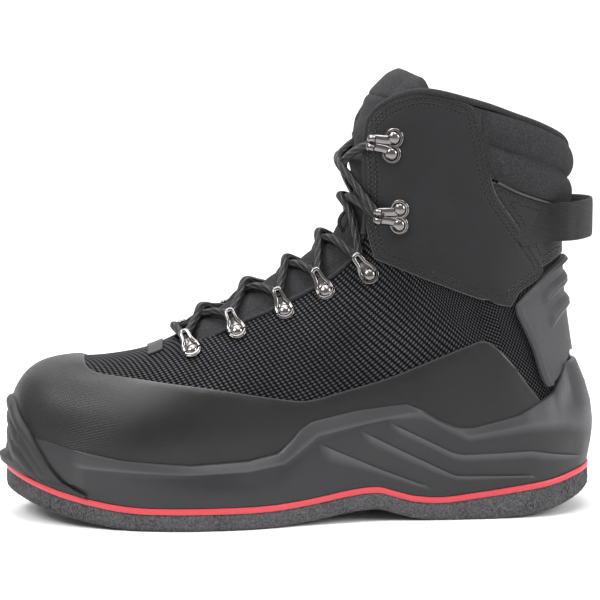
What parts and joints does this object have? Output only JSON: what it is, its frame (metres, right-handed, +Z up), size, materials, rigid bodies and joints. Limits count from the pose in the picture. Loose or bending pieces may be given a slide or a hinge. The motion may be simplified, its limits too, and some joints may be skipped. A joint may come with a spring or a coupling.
{
  "type": "wading boot",
  "caption": "High laced wading boot with a felt sole, a moulded midsole, a coated toe cap and side, a padded collar and tongue, and a pull loop at the heel.",
  "frame": {"origin": "on the floor under the heel, on its flat spot", "axes": "the toe points to -X, the outer side of the boot is -Y, +Z is up"},
  "size_m": [0.3136, 0.1103, 0.2314],
  "materials": {
    "felt": "matt dark grey felt",
    "line": "satin coral rubber",
    "midsole": "satin moulded dark grey",
    "rubber": "matt dark grey rubber",
    "mesh": "black open mesh",
    "coated": "smooth charcoal coated panel with a soft sheen",
    "nubuck": "smooth matt dark grey",
    "softshell": "matt black softshell",
    "webbing": "satin dark webbing",
    "cord": "black braided cord",
    "nickel": "polished dark nickel",
    "foam": "matt foam insole"
  },
  "bodies": {
    "root": {"upper": "mesh", "side_panel": "coated", "ankle_panel_outer": "nubuck", "ankle_panel_inner": "nubuck", "back_panel": "nubuck", "collar_pad": "softshell", "heel_counter": "rubber", "tongue": "softshell", "insole": "foam", "midsole": "midsole", "sole_line": "line", "outsole_felt": "felt", "toe_bumper": "rubber", "pull_loop": "webbing", "lace_ring_outer_1": "nickel", "lace_ring_outer_2": "nickel", "lace_ring_outer_3": "nickel", "lace_ring_outer_4": "nickel", "lace_ring_outer_5": "nickel", "lace_ring_inner_1": "nickel", "lace_ring_inner_2": "nickel", "lace_ring_inner_3": "nickel", "lace_ring_inner_4": "nickel", "lace_ring_inner_5": "nickel", "lace_hook_outer_1": "nickel", "lace_hook_outer_2": "nickel", "lace_hook_inner_1": "nickel", "lace_hook_inner_2": "nickel", "lace_bar": "cord", "lace_crossing_1": "cord", "lace_crossing_2": "cord", "lace_crossing_3": "cord", "lace_crossing_4": "cord", "lace_crossing_5": "cord", "lace_crossing_6": "cord"}
  },
  "joints": []
}
